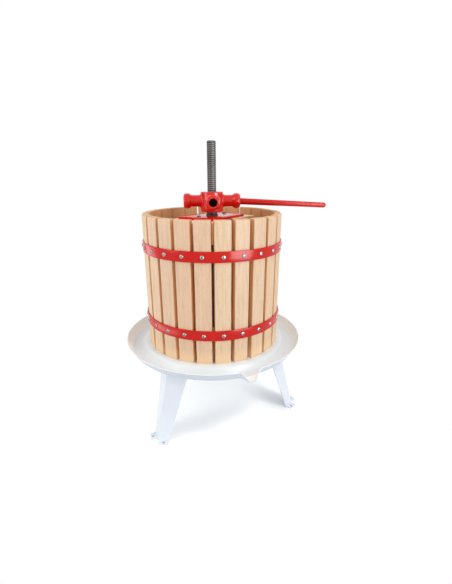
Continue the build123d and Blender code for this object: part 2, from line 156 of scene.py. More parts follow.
class NodeSheet:
    """Node tree of one material or world, grown by expressions."""

    def __init__(self, owner: Material | bpy.types.World) -> None:
        """Start from an empty tree.

        Args:
            owner: Material or world that the tree belongs to.
        """
        owner.use_nodes = True
        self.tree = owner.node_tree
        self.tree.nodes.clear()

    def node(
        self,
        kind: str,
        settings: dict[str, object] | None = None,
        sockets: Sockets | None = None,
        out: int | str = 0,
    ) -> Sock:
        """Add any node.

        Args:
            kind: Blender's type name of the node, without ShaderNode.
            settings: Attributes of the node, which are set first.
            sockets: Values or links of its inputs, by name or number.
            out: Name or number of the output that is handed back.

        Returns:
            The chosen output.
        """
        made = self.tree.nodes.new(f"ShaderNode{kind}")
        for key, value in (settings or {}).items():
            setattr(made, key, value)
        for key, value in (sockets or {}).items():
            target = made.inputs[key]
            if isinstance(value, Sock):
                self.tree.links.new(value.socket, target)
            else:
                target.default_value = (*value, 1.0) if target.type == "RGBA" else value
        return Sock(self, made.outputs[out] if made.outputs else None)

    def mix(self, amount: Term, a: Sock | Colour, b: Sock | Colour) -> Sock:
        """First of two colours, with an amount of the second mixed in."""
        settings = {"data_type": "RGBA", "clamp_factor": True}
        return self.node("Mix", settings, {0: amount, 6: a, 7: b}, out=2)

    def blend(self, amount: Sock, a: Sock, b: Sock) -> Sock:
        """First of two shaders, with an amount of the second mixed in."""
        return self.node("MixShader", None, {0: amount, 1: a, 2: b})

    def noise(self, vector: Sock, scale: float, detail: float = 2.0, rough: float = 0.5) -> Sock:
        """Noise from 0 to 1 in space."""
        sockets = {"Vector": vector, "Scale": scale, "Detail": detail, "Roughness": rough}
        return self.node("TexNoise", None, sockets)

    def figure(self, place: Sock, cells: Triple, detail: float, rough: float) -> Sock:
        """Noise from 0 to 1, by its cells per metre on each axis."""
        drawn = self.node("VectorMath", {"operation": "MULTIPLY"}, {0: place, 1: cells})
        return self.noise(drawn, 1.0, detail, rough)

    def split(self, vector: Sock) -> list[Sock]:
        """Three parts of a vector."""
        first = self.node("SeparateXYZ", None, {0: vector})
        return [Sock(self, out) for out in first.socket.node.outputs]

    def place(self) -> Sock:
        """Place on the part, in the shared frame in metres."""
        return self.node("TexCoord", out="Object")

    def attribute(self, name: str, out: str = "Vector") -> Sock:
        """Named attribute of the mesh."""
        return self.node("Attribute", {"attribute_name": name}, out=out)

    def bump(self, height: Sock, depth: float, under: Sock | None = None) -> Sock:
        """Normal of a surface raised by a height in metres, over that of a coarser bump."""
        sockets = {"Height": height, "Distance": depth, "Strength": 1.0}
        return self.node("Bump", None, sockets | ({"Normal": under} if under else {}))

    def seen(self) -> Sock:
        """Value of 1 for a ray from the camera, a reflection or a glass, and else 0."""
        camera, glossy, glass = (self.node("LightPath", out=f"Is {kind} Ray") for kind in SEEN_BY)
        return (camera + (glossy + glass)).least(1.0)

    def close(self, shader: Sock, kind: str = "OutputMaterial") -> None:
        """Lead a shader to the output."""
        self.node(kind, None, {"Surface": shader})


# Finishes: scales are in cells per metre, and a span is where a mask goes from 0 to 1


@dataclass(frozen=True)
class Finish:
    """Look of a surface, which each kind of finish draws on a node sheet."""

    name: str

    def sockets(self, sheet: NodeSheet) -> Sockets:
        """Values or links of the finish's sockets."""
        raise NotImplementedError

    def shader(self, sheet: NodeSheet) -> Sock:
        """Shader with the finish's sockets."""
        return sheet.node("BsdfPrincipled", None, self.sockets(sheet))

    def material(self) -> Material:
        """Build the finish.

        Returns:
            The material.
        """
        made = bpy.data.materials.new(self.name)
        sheet = NodeSheet(made)
        sheet.close(self.shader(sheet))
        return made


@dataclass(frozen=True)
class Paint(Finish):
    """Glossy sprayed paint on metal."""

    colour: Colour
    deep: Colour
    rough: float = 0.22
    level: float = 0.25
    peel: float = 0.02 * MM
    peel_scale: float = 420.0
    cloud_scale: float = 22.0
    cast: float = 0.0
    cast_scale: float = 130.0
    dust: Colour = (0.8, 0.78, 0.75)
    dust_share: float = 0.05
    dust_scale: float = 900.0
    # Paler colour for the tray's upward-facing inner wall near rim_r: painted light
    rim: Colour | None = None
    rim_r: float = 197.0 * MM
    rim_start: Span = (-4.0 * MM, 3.0 * MM)
    rim_end: Span = (22.0 * MM, 10.0 * MM)
    # Darker colour for faces that look down: painted shade
    underside_shade: Colour | None = None

    def sockets(self, sheet: NodeSheet) -> Sockets:
        """Draw the paint.

        Args:
            sheet: Sheet of the paint.

        Returns:
            Its sockets.
        """
        place = sheet.place()
        cloud = sheet.noise(place, self.cloud_scale, 3.0)
        speck = sheet.noise(place, self.dust_scale, 2.0, 0.6)
        thick = sheet.noise(place, self.peel_scale)
        edge = sheet.node("NewGeometry", out="Pointiness").between(0.53, 0.62)
        rise = sheet.split(sheet.node("NewGeometry", out="Normal"))[2]
        colour = sheet.mix(cloud.between(0.35, 0.72) * 0.5, self.colour, self.deep)
        colour = sheet.mix(edge * 0.35, colour, self.deep)
        # Painted light: the upward-facing inner wall of the tray, between the gutter and the rim,
        # is made paler
        if self.rim:
            x, y, _ = sheet.split(place)
            out = (x * x + y * y) ** 0.5 - self.rim_r
            wall = out.between(*self.rim_start) * out.between(*self.rim_end)
            colour = sheet.mix(wall * rise.between(0.1, 0.3), colour, self.rim)
        # Painted shade: faces that look down take a darker colour
        if self.underside_shade:
            colour = sheet.mix(rise.between(0.1, -0.35), colour, self.underside_shade)
        lying = rise.between(0.55, 1.0) * 0.8 + 0.2
        dusty = speck.between(0.56, 0.74) * lying * self.dust_share
        under = None
        if self.cast:
            under = sheet.bump(sheet.noise(place, self.cast_scale, 3.0, 0.55), self.cast)
        return {
            "Base Color": sheet.mix(dusty, colour, self.dust),
            "Roughness": self.rough + (cloud - 0.5) * 0.1 + dusty * 0.8 + (speck - 0.5) * 0.05,
            "Normal": sheet.bump(thick, self.peel, under),
            "Specular IOR Level": self.level,
        }


@dataclass(frozen=True)
class Lacquer(Paint):
    """Paint under a clear coat that is worn off at one corner and in front of the collar."""

    corner: tuple[float, float] = (-0.918, 0.396)
    worn_span: Span = (37.0 * MM, 18.0 * MM)
    rubbed_side: Span = (26.0 * MM, 15.0 * MM)
    rubbed_front: Span = (10.0 * MM, 16.0 * MM)
    weight: float = 0.43

    def sockets(self, sheet: NodeSheet) -> Sockets:
        """Draw the paint and its clear coat.

        Args:
            sheet: Sheet of the paint.

        Returns:
            Its sockets.
        """
        paint = super().sockets(sheet)
        x, y, _ = sheet.split(sheet.place())
        aside = x * self.corner[0] + y * self.corner[1]
        front = y * self.corner[0] - x * self.corner[1]
        spot = aside.size().between(*self.rubbed_side) * front.between(*self.rubbed_front)
        weight = aside.between(*self.worn_span) * (1.0 - spot) * self.weight
        return paint | {"Coat Weight": weight, "Coat Roughness": self.rough}


@dataclass(frozen=True)
class Steel(Finish):
    """Bare, plated or blackened steel."""

    colour: Colour
    stain: Colour
    rough: float
    metal: float = 1.0
    stain_scale: float = 60.0
    stain_share: float = 0.5
    scratch: float = 0.02 * MM
    scratch_scale: float = 900.0
    spot_scale: float = 420.0
    # Painted shade for faces marked as recess: the screws' cross recesses and the thread's grooves
    recess_shade: Colour = (0.02, 0.019, 0.018)

    def sockets(self, sheet: NodeSheet) -> Sockets:
        """Draw the steel.

        Args:
            sheet: Sheet of the steel.

        Returns:
            Its sockets.
        """
        place = sheet.place()
        cloud = sheet.noise(place, self.stain_scale, 4.0, 0.6)
        fine = sheet.noise(place, self.scratch_scale, 3.0, 0.6)
        spots = sheet.noise(place, self.spot_scale)
        stained = cloud.between(0.42, 0.75) * self.stain_share
        colour = sheet.mix(stained, self.colour, self.stain)
        colour = sheet.mix((fine - 0.35) * 0.5, colour, self.stain)
        return {
            # Painted shade darkens the faces marked as recess
            "Base Color": sheet.mix(sheet.attribute("recess", "Fac") * 0.9, colour, self.recess_shade),
            "Roughness": self.rough + stained * 0.15 + (fine - 0.5) * 0.2 + (spots - 0.5) * 0.08,
            "Metallic": self.metal,
            "Normal": sheet.bump(fine, self.scratch),
        }


@dataclass(frozen=True)
class Beech(Finish):
    """Planed beech, its grain along the third axis of each board's own frame."""

    name: str = "planed_beech"
    pale: Colour = (0.79, 0.565, 0.39)
    pink: Colour = (0.77, 0.53, 0.36)
    straw: Colour = (0.80, 0.59, 0.385)
    late: Colour = (0.66, 0.42, 0.255)
    fleck: Colour = (0.44, 0.235, 0.12)
    end: Colour = (0.72, 0.49, 0.29)
    # Darker, more orange colour on the sides and inner faces of one-faced boards: painted shade
    shaded_side: Colour = (0.80, 0.39, 0.155)
    pale_foot: Colour = (0.96, 0.68, 0.40)
    pale_foot_span: Span = (225.0 * MM, 195.0 * MM)
    ring: float = 5.2 * MM
    rough: float = 0.5
    level: float = 0.2
    relief: float = 0.12 * MM
    drift: Figure = ((18.0, 18.0, 2.2), 2.0, 0.5)
    streaks: Figure = ((430.0, 430.0, 7.0), 3.0, 0.6)
    clouds: Figure = ((210.0, 210.0, 24.0), 1.0, 0.5)
    fibres: Figure = ((1500.0, 1500.0, 38.0), 2.0, 0.55)
    rays: Figure = ((820.0, 1300.0, 150.0), 1.0, 0.4)
    pores: Figure = ((1500.0, 1500.0, 60.0), 2.0, 0.6)
    side_figure: Figure = ((260.0, 260.0, 520.0), 2.0, 0.6)

    def sockets(self, sheet: NodeSheet) -> Sockets:
        """Draw the wood.

        Args:
            sheet: Sheet of the wood.

        Returns:
            Its sockets.
        """
        grain = sheet.attribute("grain")
        tone, tilt, ends = sheet.split(sheet.attribute("board"))
        x, y, _ = sheet.split(grain)

        # Growth rings, wavy and cut at the board's own tilt
        drift = sheet.figure(grain, *self.drift)
        across = x + y * tilt * 0.35 + (drift - 0.5) * 0.03
        depth = (across * across + y * y * 0.35) ** 0.5
        band = (depth * (math.tau / self.ring) + drift * 5.0).sine() * 0.5 + 0.5
        late = band.between(0.45, 1.0)

        # Planed faces: the board's tone, late wood, streaks and the short flecks of beech
        streak = sheet.figure(grain, *self.streaks)
        fibre = sheet.figure(grain, *self.fibres)
        flecks = sheet.figure(grain, *self.rays).between(0.635, 0.72)
        colour = sheet.mix(tone.between(0.0, 0.55), self.pink, self.pale)
        colour = sheet.mix(tone.between(0.45, 1.0), colour, self.straw)
        lines = late * 0.17 + streak.between(0.42, 0.75) * 0.16
        colour = sheet.mix(lines, colour, self.late)
        cloud = sheet.figure(grain, *self.clouds).between(0.42, 0.72)
        lines = fibre.between(0.5, 0.8) * 0.2 + cloud * 0.42
        colour = sheet.mix(lines, colour, self.late)
        colour = sheet.mix(flecks * 0.34 * (1.0 - ends), colour, self.fleck)

        # Cut ends, painted shade on the sides and inner faces of the boards, and the paler lower
        # ends of the slats
        open_pores = sheet.figure(grain, *self.pores).between(0.5, 0.72)
        cut = sheet.mix(open_pores * 0.5 + late * 0.3, self.end, self.fleck)
        colour = sheet.mix(ends * 0.75, colour, cut)
        side_pattern = sheet.figure(grain, *self.side_figure).between(0.35, 0.75)
        side_colour = sheet.mix(side_pattern * 0.35 + late * 0.2, self.shaded_side, self.fleck)
        colour = sheet.mix(sheet.attribute("shaded_side", "Fac") * 0.85, colour, side_colour)
        # The lower ends of the slats are paler
        low = sheet.split(sheet.place())[2].between(*self.pale_foot_span)
        height = streak * 0.5 + fibre * 0.35 - flecks * 0.25
        return {
            "Base Color": sheet.mix(low * (streak * 0.5 + 0.5), colour, self.pale_foot),
            "Roughness": self.rough + (streak - 0.5) * 0.18 + flecks * 0.08 + ends * 0.15,
            "Normal": sheet.bump(height, self.relief),
            "Specular IOR Level": self.level,
        }


# Meshes


def add_piece(
    name: str,
    form: Form,
    finish: Material,
    body: Body,
    slot: Slot,
    stands_for: Sequence[str],
    crease: float = 35.0,
    marks: dict[str, Sequence[float]] | None = None,
) -> Object:
    """Make one piece of the press from points and faces.

    Args:
        name: Name of the piece.
        form: Vertices in metres, and the vertex numbers of each face.
        finish: Its material.
        body: Body that it rides on.
        slot: The record's material slot; not used.
        stands_for: CAD nodes that it replaces.
        crease: Angle in degrees above which an edge stays sharp.
        marks: Values of each face that its finish reads by name.

    Returns:
        The object.
    """
    points, faces = form
    mesh = bpy.data.meshes.new(name)
    mesh.from_pydata([tuple(map(float, p)) for p in points], [], faces)
    for key, values in (marks or {}).items():
        mark = mesh.attributes.new(key, "FLOAT", "FACE")
        mark.data.foreach_set("value", np.array(values, np.float32))
    work = bmesh.new()
    work.from_mesh(mesh)
    bmesh.ops.remove_doubles(work, verts=work.verts, dist=MERGE)
    bmesh.ops.dissolve_degenerate(work, edges=work.edges, dist=MERGE)
    bmesh.ops.recalc_face_normals(work, faces=work.faces)
    work.to_mesh(mesh)
    work.free()
    mesh.shade_smooth()
    mesh.set_sharp_from_angle(angle=math.radians(crease))
    made = bpy.data.objects.new(name, mesh)
    bpy.context.scene.collection.objects.link(made)
    mesh.materials.append(finish)
    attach(made, body.value)
    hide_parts(*stands_for)
    LOG.info("%s: %d faces", name, len(mesh.polygons))
    return made


def dress_node(node: str, finish: Material) -> Object:
    """Give a CAD node its finish.

    Args:
        node: Name of the node.
        finish: Its material.

    Returns:
        The node's object.
    """
    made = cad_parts[node]
    made.data.materials.clear()
    made.data.materials.append(finish)
    LOG.info("%s: dressed", node)
    return made


def grid_faces(rows: int, columns: int, wrap: bool = True, closed: bool = False) -> Faces:
    """Quads of a grid of points laid out row by row.

    Args:
        rows: Number of rows.
        columns: Points in each row.
        wrap: Whether the last column joins the first.
        closed: Whether the last row joins the first.

    Returns:
        The faces.
    """
    faces = []
    for row in range(rows if closed else rows - 1):
        a, b = row * columns, (row + 1) % rows * columns
        for column in range(columns if wrap else columns - 1):
            following = (column + 1) % columns
            faces.append((a + column, a + following, b + following, b + column))
    return faces


def capped_faces(rows: int, columns: int) -> Faces:
    """Quads between closed rows of points, and a face over the first row and the last."""
    caps = [tuple(range(columns)), tuple(range((rows - 1) * columns, rows * columns))]
    return grid_faces(rows, columns) + caps


def polar(radius: float, angle: float, z: float) -> Vector:
    """Point about Z, with its angle in radians."""
    return Vector((radius * math.cos(angle), radius * math.sin(angle), z))


def arc(cx: float, cy: float, radius: float, first: float, last: float, steps: int) -> Loop:
    """Points on an arc, with angles in degrees."""
    angles = [math.radians(first + (last - first) * n / steps) for n in range(steps + 1)]
    return [(cx + radius * math.cos(a), cy + radius * math.sin(a)) for a in angles]


def rounded_box(width: float, height: float, radius: float, steps: int = 4) -> Loop:
    """Outline of a rectangle about the origin with rounded corners."""
    x, y = width / 2 - radius, height / 2 - radius
    return [p for i, k, a in CORNERS for p in arc(i * x, k * y, radius, a, a + 90, steps)]


def divided(outline: Loop, parts: int, longest: float = 0.0) -> Loop:
    """Divide the sides of an outline.

    Args:
        outline: Closed outline.
        parts: Parts of each divided side.
        longest: Length of the longest side that stays whole.

    Returns:
        The outline with its new points.
    """
    loop: Loop = []
    for (x0, y0), (x1, y1) in zip(outline, outline[1:] + outline[:1]):
        count = parts if math.hypot(x1 - x0, y1 - y0) > longest else 1
        loop += [(x0 + (x1 - x0) * n / count, y0 + (y1 - y0) * n / count) for n in range(count)]
    return loop


def set_grain(made: Object, own: Matrix, seed: random.Random, one_face: bool = False) -> None:
    """Write the wood's own place, tone, end faces and shaded sides on a mesh.

    Args:
        made: Wooden piece.
        own: Matrix from the board's own frame, grain along Z, to the shared frame.
        seed: Random source.
        one_face: Whether only the face towards +X keeps the planed colour and the others take a
            darker painted shade.
    """
    mesh = made.data
    back = np.array(own.inverted())
    places = np.zeros(len(mesh.vertices) * 3)
    mesh.vertices.foreach_get("co", places)
    places = places.reshape(-1, 3) @ back[:3, :3].T + back[:3, 3]
    shift = [seed.uniform(-far, far) for far in BOARD_SHIFT]
    grain = mesh.attributes.new("grain", "FLOAT_VECTOR", "POINT")
    grain.data.foreach_set("vector", (places + np.array(shift)).astype(np.float32).ravel())
    tone, tilt = seed.random(), seed.uniform(-1.0, 1.0)
    out, _, along = own.to_3x3().col
    facts, shaded_side = [], []
    for face in mesh.polygons:
        end = abs(face.normal.dot(along)) > 0.75
        facts += [tone, tilt, float(end)]
        # Painted shade on every face but the planed outer face and the ends
        shaded_side.append(float(one_face and not end and face.normal.dot(out) < 0.5))
    mesh.attributes.new("board", "FLOAT_VECTOR", "FACE").data.foreach_set("vector", facts)
    mesh.attributes.new("shaded_side", "FLOAT", "FACE").data.foreach_set("value", shaded_side)


# Fasteners


@dataclass(frozen=True)
class CrossScrew:
    """Pan-head screw with a cross recess, its head on Z = 0."""

    head_d: float
    head_h: float
    shank_d: float
    length: float
    rim: float = 0.8 * MM
    roundness: float = 2.4
    slot_half: float = 0.115
    slot_reach: float = 0.50
    slot_depth: float = 0.62
    slot_taper: float = 0.55
    head_rings: tuple[float, ...] = (0.35, 0.6, 0.78, 0.9, 0.97, 1.0)

    def cross(self) -> Loop:
        """Outline of the recess, with two extra points on each side.

        Returns:
            The outline.
        """
        a, b = self.slot_half * self.head_d / 2, self.slot_reach * self.head_d / 2
        arm = (b, -a), (b, a), (a, a)
        return divided([(x * c - y * d, x * d + y * c) for c, d in QUARTERS for x, y in arm], 3)

    def dome(self, r: float) -> float:
        """Height of the head at a radius."""
        fall = min(1.0, 2 * r / self.head_d) ** self.roundness
        return self.rim + (self.head_h - self.rim) * math.sqrt(max(0.0, 1.0 - fall))

    def own(self) -> Form:
        """One screw in its own frame, row by row from the floor of the recess to the tip.

        Returns:
            Points and faces.
        """
        cross = self.cross()
        near = [math.hypot(x, y) for x, y in cross]
        floor = self.head_h * (1.0 - self.slot_depth)
        points = [Vector((x * self.slot_taper, y * self.slot_taper, floor)) for x, y in cross]
        points += [Vector((x, y, self.dome(r))) for (x, y), r in zip(cross, near)]
        top, shank = self.head_d / 2, self.shank_d / 2
        rows = []
        for share in self.head_rings:
            radii = [r + (top - r) * share for r in near]
            rows.append([(r, self.dome(r)) for r in radii])
        for ring in ((top, 0.0), (shank, 0.0), (shank, -self.length)):
            rows.append([ring] * len(cross))
        for row in rows:
            for (x, y), start, (r, z) in zip(cross, near, row):
                points.append(Vector((x / start * r, y / start * r, z)))
        return points, capped_faces(len(rows) + 2, len(cross))

    def at(self, places: Sequence[Matrix]) -> tuple[Form, dict[str, list[float]]]:
        """Copies of the screw.

        Args:
            places: Place of each screw in the shared frame.

        Returns:
            Points and faces of all screws, and which faces lie in a recess.
        """
        own_points, own_faces = self.own()
        size = len(self.cross())
        # Faces of the recess, which the steel's finish darkens as painted shade
        inner = [float(max(face) < 2 * size) for face in own_faces]
        points: list[Vector] = []
        faces: Faces = []
        for place in places:
            start = len(points)
            points += [place @ p for p in own_points]
            faces += [tuple(start + n for n in face) for face in own_faces]
        return (points, faces), {"recess": inner * len(places)}


def hex_nut(width: float, bore_r: float, z: float, height: float) -> Form:
    """Hexagon nut with chamfered corners and countersunk bore.

    Args:
        width: Width across flats.
        bore_r: Radius of its bore.
        z: Height of its underside.
        height: Its own height.

    Returns:
        Points and faces.
    """
    steps, slope = 72, math.tan(math.radians(30.0))
    flat, sink, lip = width / 2, 0.06 * width, 0.02 * height
    chamfer = flat * 0.97
    points = []
    for n in range(steps):
        a = 360.0 * n / steps
        corner = flat / math.cos(math.radians((a + 30.0) % 60.0 - 30.0))
        rise = lip + (corner - chamfer) * slope
        section = [(bore_r, sink), (bore_r + sink, 0.0), (flat * 0.95, 0.0), (chamfer, lip)]
        section += [(corner, rise), (corner, height - rise), (chamfer, height - lip)]
        section += [(bore_r + sink, height), (bore_r, height - sink)]
        points += [polar(r, math.radians(a), z + up) for r, up in section]
    return points, grid_faces(steps, len(section), closed=True)


# Basket


@dataclass
class Basket:
    """Slatted beech basket with its two hoops and their screws."""

    wood: Material
    paint: Material
    zinc: Material
    inner_r: float = 140.0 * MM
    thickness: float = 15.0 * MM
    height: float = 300.0 * MM
    floor_z: float = 189.0 * MM
    count: int = 24
    gap: float = 7.6 * MM
    first_angle: float = 1.6
    edge_r: float = 1.5 * MM
    end_r: float = 0.7 * MM
    bevel: float = 3.2 * MM
    bevel_steps: tuple[Span, ...] = ((0, 0.0), (25, 0.0), (45, 0.0), (65, 0.3), (86, 1.0))
    parts: int = 12
    narrower: Span = (0.0, 0.3 * MM)
    shorter: Span = (0.0, 0.45 * MM)
    bow: Span = (-0.25 * MM, 0.1 * MM)
    moved: ClassVar[dict[int, float]] = {4: 0.45, 5: -0.8, 18: -0.25, 19: -0.5}
    trimmed: ClassVar[dict[int, float]] = {19: 2.2 * MM}
    first_seed: int = 500
    hoop_inner_r: float = 155.86 * MM
    hoop_sheet: float = 2.0 * MM
    hoop_height: float = 22.0 * MM
    hoop_edge_r: float = 0.55 * MM
    hoop_steps: int = 192
    hoop_z: tuple[tuple[str, float], ...] = (("upper", 419.5 * MM), ("lower", 254.6 * MM))
    weld_angle: float = 99.1
    weld_step: float = 0.0025
    weld_steps: int = 10
    bead_half: float = 1.5 * MM
    bead_height: float = 0.35 * MM
    ripple_height: float = 0.15 * MM
    ripple_length: float = 1.1 * MM
    screw: CrossScrew = CrossScrew(8.2 * MM, 2.6 * MM, 4.0 * MM, 12.8 * MM)

    def build(self) -> None:
        """Build slats, hoops and screws."""
        for number in range(1, self.count + 1):
            self.slat(number)
        for name, z in self.hoop_z:
            self.hoop(name, z)
            self.screws(name, z)

    def angle(self, number: int) -> float:
        """Angle of a slat or screw about the spindle in radians, counted from 1."""
        return math.radians(self.first_angle + 360.0 / self.count * (number - 1))

    def slat(self, number: int) -> None:
        """Build one planed board with eased edges.

        Args:
            number: Number of the slat, from 1.
        """
        seed = random.Random(self.first_seed + number)
        outer_r = self.inner_r + self.thickness
        width = 2 * outer_r * math.tan(math.pi / self.count) - self.gap
        width -= seed.uniform(*self.narrower) + self.trimmed.get(number, 0.0)
        top = self.height - seed.uniform(*self.shorter)
        e = self.end_r

        # Height, inset of all sides and cut from the outer face of each section
        rings = [(0.0, e, e), (0.3 * e, 0.3 * e, 0.3 * e), (e, 0.0, 0.0)]
        rings += [(top * n / self.parts, 0.0, 0.0) for n in range(1, self.parts)]
        for degrees, inset in self.bevel_steps:
            turn = math.radians(degrees)
            drop, cut = self.bevel * (1 - math.sin(turn)), self.bevel * (1 - math.cos(turn))
            rings.append((top - drop, inset * e, cut))
        bow = seed.uniform(*self.bow)
        points: list[Triple] = []
        for z, inset, bevel in rings:
            sag = bow * math.sin(math.pi * z / top) - abs(bow)
            middle = self.inner_r + (self.thickness + inset - bevel) / 2 + sag * 0.5
            loop = rounded_box(self.thickness - inset - bevel, width - 2 * inset, self.edge_r)
            points += [(x + middle, y, z) for x, y in loop]
        aside = math.radians(self.moved.get(number, 0.0))
        turn = Matrix.Rotation(self.angle(number) + aside, 4, "Z")
        place = turn @ Matrix.Translation((0, 0, self.floor_z))
        form = [place @ Vector(p) for p in points], capped_faces(len(rings), len(loop))
        name = f"slat_{number:02d}"
        made = add_piece(f"beech_{name}", form, self.wood, Body.FRAME, Slot.BEECH, [name])
        centre = Matrix.Translation((self.inner_r + self.thickness / 2, 0, self.height / 2))
        set_grain(made, place @ centre, seed, one_face=True)

    def hoop(self, name: str, z: float) -> None:
        """Build one band with eased edges and the dressed weld that closes it.

        Args:
            name: Upper or lower.
            z: Height of its middle.
        """
        middle = self.hoop_inner_r + self.hoop_sheet / 2
        loop = rounded_box(self.hoop_sheet, self.hoop_height, self.hoop_edge_r, 3)
        weld = math.radians(self.weld_angle)
        angles = [math.tau * n / self.hoop_steps for n in range(self.hoop_steps)]
        fine = range(-self.weld_steps, self.weld_steps + 1)
        angles += [weld + n * self.weld_step for n in fine]
        angles = sorted(a % math.tau for a in angles)
        points = []
        for a in angles:
            away = math.remainder(a - weld, math.tau) * self.hoop_inner_r
            bead = math.exp(-((away / self.bead_half) ** 2))
            for x, y in loop:
                ripple = self.ripple_height * math.sin(y / self.ripple_length)
                lift = (self.bead_height + ripple) * bead if x > 0 else 0.0
                points.append(polar(middle + x + lift, a, z + y))
        form = points, grid_faces(len(angles), len(loop), closed=True)
        node = f"{name}_hoop"
        add_piece(f"{node}_band", form, self.paint, Body.FRAME, Slot.RED, [node])

    def screws(self, name: str, z: float) -> None:
        """Build the pan-head screws of one hoop.

        Args:
            name: Upper or lower.
            z: Height of the screws.
        """
        seed = random.Random(len(name) + int(z * 1e4))
        out = Matrix.Translation((self.hoop_inner_r + self.hoop_sheet, 0, z))
        tip = Matrix.Rotation(math.pi / 2, 4, "Y")
        places = []
        for number in range(1, self.count + 1):
            turn = Matrix.Rotation(self.angle(number), 4, "Z")
            places.append(turn @ out @ tip @ Matrix.Rotation(seed.uniform(0, math.pi), 4, "Z"))
        form, marks = self.screw.at(places)
        piece, node = f"{name}_hoop_pan_screws", f"{name}_hoop_screws"
        add_piece(piece, form, self.zinc, Body.FRAME, Slot.ZINC, [node], marks=marks)


# Tray and legs


@dataclass
class Tray:
    """Pressed juice tray with the spout pulled out of its wall."""

    paint: Material
    sheet: float = 1.5 * MM
    hole_r: float = 10.08 * MM
    floor_z: float = 189.0 * MM
    flat_r: float = 155.0 * MM
    plateau_r: float = 168.0 * MM
    gutter_inner_r: float = 176.0 * MM
    gutter_outer_r: float = 197.0 * MM
    gutter_z: float = 175.8 * MM
    start_r: float = 186.5 * MM
    rim_r: float = 209.1 * MM
    rim_z: float = 196.15 * MM
    shoulder_bend: Span = (6.0 * MM, 6.0 * MM)
    heel_bend: Span = (7.0 * MM, 5.2 * MM)
    foot_bend: Span = (5.2 * MM, 8.0 * MM)
    bend_most: float = 0.48
    bend_steps: int = 8
    floor_steps: int = 9
    wall_steps: int = 5
    columns: int = 176
    spout_steps: int = 40
    crease: float = 50.0

    # Right half of the spout in millimetres, from the rim to the middle of its tip:
    # the edge, the line where its side meets its floor, and where that leaves the gutter
    edge: ClassVar[list[Triple]] = [
        (36.0, -205.98, 196.15), (25.8, -207.2, 195.9), (19.6, -209.5, 192.9),
        (14.4, -212.4, 187.0), (10.3, -215.6, 181.4), (7.3, -217.8, 177.3),
        (5.6, -218.3, 174.8), (3.6, -218.3, 173.55), (0.0, -218.3, 173.3),
    ]
    base: ClassVar[list[Triple]] = [
        (33.85, -194.07, 175.8), (22.2, -195.6, 175.7), (15.6, -200.6, 175.0),
        (10.0, -208.6, 174.3), (7.2, -213.6, 173.9), (5.3, -216.6, 173.6),
        (4.3, -217.5, 173.45), (2.9, -216.8, 173.5), (0.0, -215.2, 173.65),
    ]
    root: ClassVar[list[Triple]] = [
        (32.05, -183.73, 175.8), (21.2, -185.29, 175.8), (14.53, -185.93, 175.8),
        (9.42, -186.26, 175.8), (6.87, -186.37, 175.8), (5.1, -186.43, 175.8),
        (4.12, -186.45, 175.8), (2.75, -186.48, 175.8), (0.0, -186.5, 175.8),
    ]

    def follow(self, points: Sequence[Triple], share: float) -> Vector:
        """Point on a smooth line through given points and on into its mirror image.

        Args:
            points: Points in millimetres.
            share: Place along the line from 0 to 1.

        Returns:
            The point in metres.
        """
        last = len(points) - 1
        at = min(share * last, last - 1e-9)
        n = int(at)
        t = at - n
        x, y, z = points[last - 1]
        p = [Vector(q) for q in (points[0], *points, (-x, y, z))[n : n + 4]]
        a = 2 * p[1] + (p[2] - p[0]) * t
        b = (2 * p[0] - 5 * p[1] + 4 * p[2] - p[3]) * t * t
        c = (3 * p[1] - p[0] - 3 * p[2] + p[3]) * t**3
        return (a + b + c) * 0.5 * MM

    def bend(self, before: Vector, corner: Vector, after: Vector, reach: Span) -> list[Vector]:
        """Round a corner of the section.

        Args:
            before: Point before the corner.
            corner: The sharp corner.
            after: Point after the corner.
            reach: How far the bend reaches to both sides.

        Returns:
            Points of the bend.
        """
        ends = []
        for point, far in zip((before, after), reach):
            away = point - corner
            ends.append(corner + away.normalized() * min(far, away.length * self.bend_most))
        first, last = ends
        shares = [n / self.bend_steps for n in range(self.bend_steps + 1)]
        return [first * (1 - t) ** 2 + corner * 2 * t * (1 - t) + last * t * t for t in shares]

    def column(self, start: Vector, corner: Vector, end: Vector) -> list[Vector]:
        """Upper surface along one meridian, from the spindle hole to the edge.

        Args:
            start: Point on the gutter floor.
            corner: Foot of the wall.
            end: Point on the edge.

        Returns:
            Points from the inside outwards.
        """
        out = Vector((start.x, start.y, 0)).normalized()
        floor = Vector((0, 0, self.floor_z))
        shoulder = out * self.plateau_r + floor
        heel = out * self.gutter_inner_r + Vector((0, 0, self.gutter_z))
        line = [out * r + floor for r in np.linspace(self.hole_r, self.flat_r, self.floor_steps)]
        line += self.bend(line[-1], shoulder, heel, self.shoulder_bend)
        line += self.bend(shoulder, heel, start, self.heel_bend)
        line += [(line[-1] + start) / 2, start]
        foot = self.bend(start, corner, end, self.foot_bend)
        shares = [n / self.wall_steps for n in range(1, self.wall_steps + 1)]
        line += [start.lerp(foot[0], share) for share in shares[:-1]] + foot
        return line + [foot[-1].lerp(end, share) for share in shares]

    def meridians(self) -> list[list[Vector]]:
        """Upper surface all round, with the spout last.

        Returns:
            Points of each meridian.
        """
        half = math.atan2(self.edge[0][0], -self.edge[0][1])
        floor, rim = Vector((0, 0, self.gutter_z)), Vector((0, 0, self.rim_z))
        columns = []
        for n in range(self.columns):
            a = -math.pi / 2 + half + (math.tau - 2 * half) * n / self.columns
            out = Vector((math.cos(a), math.sin(a), 0))
            foot = out * self.gutter_outer_r + floor
            columns.append(self.column(out * self.start_r + floor, foot, out * self.rim_r + rim))
        shares = [n / self.spout_steps for n in range(self.spout_steps + 1)]
        lines = (self.root, self.base, self.edge)
        right = [[self.follow(line, share) for line in lines] for share in shares]
        flip = Matrix.Scale(-1, 3, (1, 0, 0))
        columns += [self.column(*[flip @ p for p in row]) for row in right]
        columns += [self.column(*row) for row in reversed(right[1:-1])]
        return columns

